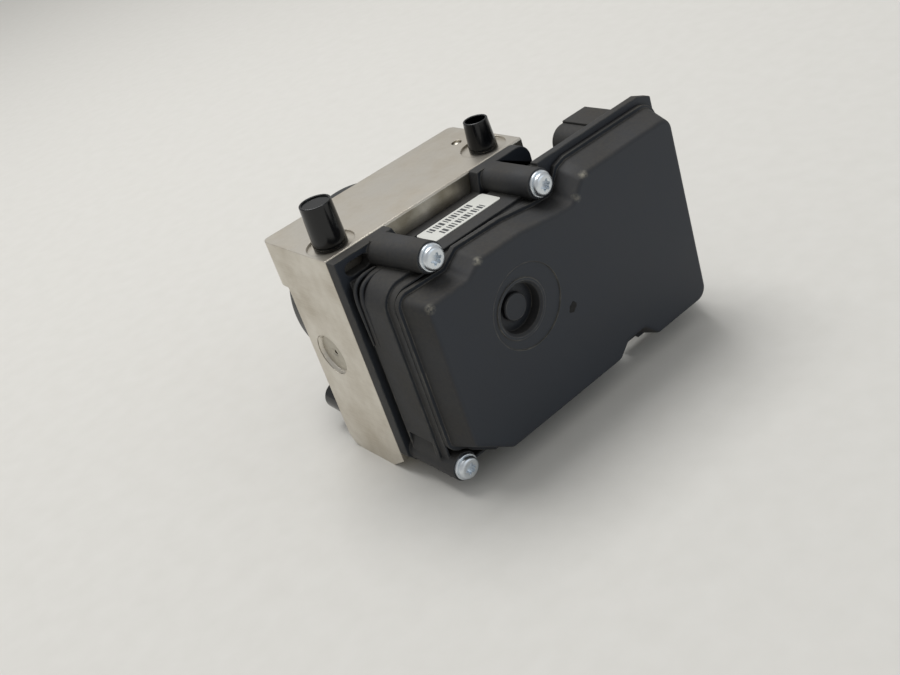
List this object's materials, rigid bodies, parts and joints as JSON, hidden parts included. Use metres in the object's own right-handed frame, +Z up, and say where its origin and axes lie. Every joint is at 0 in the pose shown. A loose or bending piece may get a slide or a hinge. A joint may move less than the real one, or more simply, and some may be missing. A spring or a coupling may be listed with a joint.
{
  "type": "anti-lock brake module",
  "caption": "Anti-lock brake module: an aluminium hydraulic block with capped brake line ports, a pump motor behind it and a plastic control unit with an overhanging socket in front.",
  "frame": {"origin": "mouth of the middle threaded mounting hole in the underside of the hydraulic block", "axes": "+X across the block towards the overhanging socket, +Y back towards the pump motor, +Z up towards the top brake line ports"},
  "size_m": [0.1256, 0.1148, 0.0987],
  "materials": {
    "block_aluminium": "machined extruded aluminium, dulled",
    "moulded_polyamide": "glass-filled moulded plastic",
    "cap_plastic": "soft glossy plastic",
    "breather_plastic": "moulded plastic",
    "label_film": "white film",
    "zinc_steel": "bright zinc plated",
    "dark_screw_steel": "dull plated",
    "plug_steel": "dull pressed steel",
    "motor_steel": "dark coated deep-drawn steel",
    "machined_steel": "machined",
    "spring_steel": "drawn wire",
    "copper": "bare copper",
    "carbon": "sintered carbon",
    "brush_plate_plastic": "moulded plastic",
    "seal_rubber": "moulded rubber",
    "board_laminate": "coated laminate"
  },
  "bodies": {
    "module": {"block_gasket": "seal_rubber", "breather_plug": "breather_plastic", "brush_left": "carbon", "brush_plate": "brush_plate_plastic", "brush_right": "carbon", "channel_balls": "plug_steel", "circuit_board": "board_laminate", "coil_pack": "brush_plate_plastic", "connector_pins": "copper", "cover_screws": "zinc_steel", "ecu_cover": "moulded_polyamide", "ecu_housing": "moulded_polyamide", "front_bearing": "machined_steel", "hydraulic_block": "block_aluminium", "inlet_valve_1": "machined_steel", "inlet_valve_2": "machined_steel", "inlet_valve_3": "machined_steel", "inlet_valve_4": "machined_steel", "label": "label_film", "motor_can": "motor_steel", "motor_contact_rod": "copper", "motor_end_plate": "machined_steel", "motor_screws": "dark_screw_steel", "motor_seal": "seal_rubber", "outlet_valve_1": "machined_steel", "outlet_valve_2": "machined_steel", "outlet_valve_3": "machined_steel", "outlet_valve_4": "machined_steel", "port_cap_left": "cap_plastic", "port_cap_right": "cap_plastic", "pump_plug_left": "plug_steel", "pump_plug_right": "plug_steel", "pump_sleeve_left": "machined_steel", "pump_sleeve_right": "machined_steel", "pump_spring_left": "spring_steel", "pump_spring_right": "spring_steel", "rear_bearing": "machined_steel", "rear_cap_left": "cap_plastic", "rear_cap_right": "cap_plastic", "store_cap_left": "plug_steel", "store_cap_right": "plug_steel", "store_spring_left": "spring_steel", "store_spring_right": "spring_steel"},
    "rotor": {"rotor_shaft": "machined_steel", "eccentric_bearing": "machined_steel", "armature_core": "machined_steel", "armature_winding": "copper", "commutator": "copper"},
    "pump_piston_left": {"pump_piston_left": "machined_steel"},
    "pump_piston_right": {"pump_piston_right": "machined_steel"},
    "store_piston_left": {"store_piston_left": "machined_steel"},
    "store_piston_right": {"store_piston_right": "machined_steel"},
    "inlet_armature_1": {"inlet_armature_1": "machined_steel"},
    "inlet_armature_2": {"inlet_armature_2": "machined_steel"},
    "inlet_armature_3": {"inlet_armature_3": "machined_steel"},
    "inlet_armature_4": {"inlet_armature_4": "machined_steel"},
    "outlet_armature_1": {"outlet_armature_1": "machined_steel"},
    "outlet_armature_2": {"outlet_armature_2": "machined_steel"},
    "outlet_armature_3": {"outlet_armature_3": "machined_steel"},
    "outlet_armature_4": {"outlet_armature_4": "machined_steel"}
  },
  "joints": [
    {"name": "rotor_spin", "type": "hinge", "parent": "module", "child": "rotor", "pos_m": [0, 0, 0.0428], "axis": [0, 1, 0], "continuous": true},
    {"name": "pump_stroke_left", "type": "slide", "parent": "module", "child": "pump_piston_left", "axis": [-1, 0, 0], "range_m": [0, 0.0024], "stiffness_N_per_m": 1500, "springref_m": -0.001, "deforming": ["pump_spring_left"]},
    {"name": "store_stroke_left", "type": "slide", "parent": "module", "child": "store_piston_left", "axis": [0, 0, -1], "range_m": [0, 0.005], "stiffness_N_per_m": 800, "springref_m": -0.001, "deforming": ["store_spring_left"]},
    {"name": "pump_stroke_right", "type": "slide", "parent": "module", "child": "pump_piston_right", "axis": [1, 0, 0], "range_m": [0, 0.0024], "stiffness_N_per_m": 1500, "springref_m": -0.001, "deforming": ["pump_spring_right"]},
    {"name": "store_stroke_right", "type": "slide", "parent": "module", "child": "store_piston_right", "axis": [0, 0, -1], "range_m": [0, 0.005], "stiffness_N_per_m": 800, "springref_m": -0.001, "deforming": ["store_spring_right"]},
    {"name": "inlet_close_1", "type": "slide", "parent": "module", "child": "inlet_armature_1", "axis": [0, 1, 0], "range_m": [0, 0.0003], "stiffness_N_per_m": 800, "springref_m": -0.0005},
    {"name": "outlet_open_1", "type": "slide", "parent": "module", "child": "outlet_armature_1", "axis": [0, -1, 0], "range_m": [0, 0.0003], "stiffness_N_per_m": 800, "springref_m": -0.0005},
    {"name": "inlet_close_2", "type": "slide", "parent": "module", "child": "inlet_armature_2", "axis": [0, 1, 0], "range_m": [0, 0.0003], "stiffness_N_per_m": 800, "springref_m": -0.0005},
    {"name": "outlet_open_2", "type": "slide", "parent": "module", "child": "outlet_armature_2", "axis": [0, -1, 0], "range_m": [0, 0.0003], "stiffness_N_per_m": 800, "springref_m": -0.0005},
    {"name": "inlet_close_3", "type": "slide", "parent": "module", "child": "inlet_armature_3", "axis": [0, 1, 0], "range_m": [0, 0.0003], "stiffness_N_per_m": 800, "springref_m": -0.0005},
    {"name": "outlet_open_3", "type": "slide", "parent": "module", "child": "outlet_armature_3", "axis": [0, -1, 0], "range_m": [0, 0.0003], "stiffness_N_per_m": 800, "springref_m": -0.0005},
    {"name": "inlet_close_4", "type": "slide", "parent": "module", "child": "inlet_armature_4", "axis": [0, 1, 0], "range_m": [0, 0.0003], "stiffness_N_per_m": 800, "springref_m": -0.0005},
    {"name": "outlet_open_4", "type": "slide", "parent": "module", "child": "outlet_armature_4", "axis": [0, -1, 0], "range_m": [0, 0.0003], "stiffness_N_per_m": 800, "springref_m": -0.0005}
  ]
}
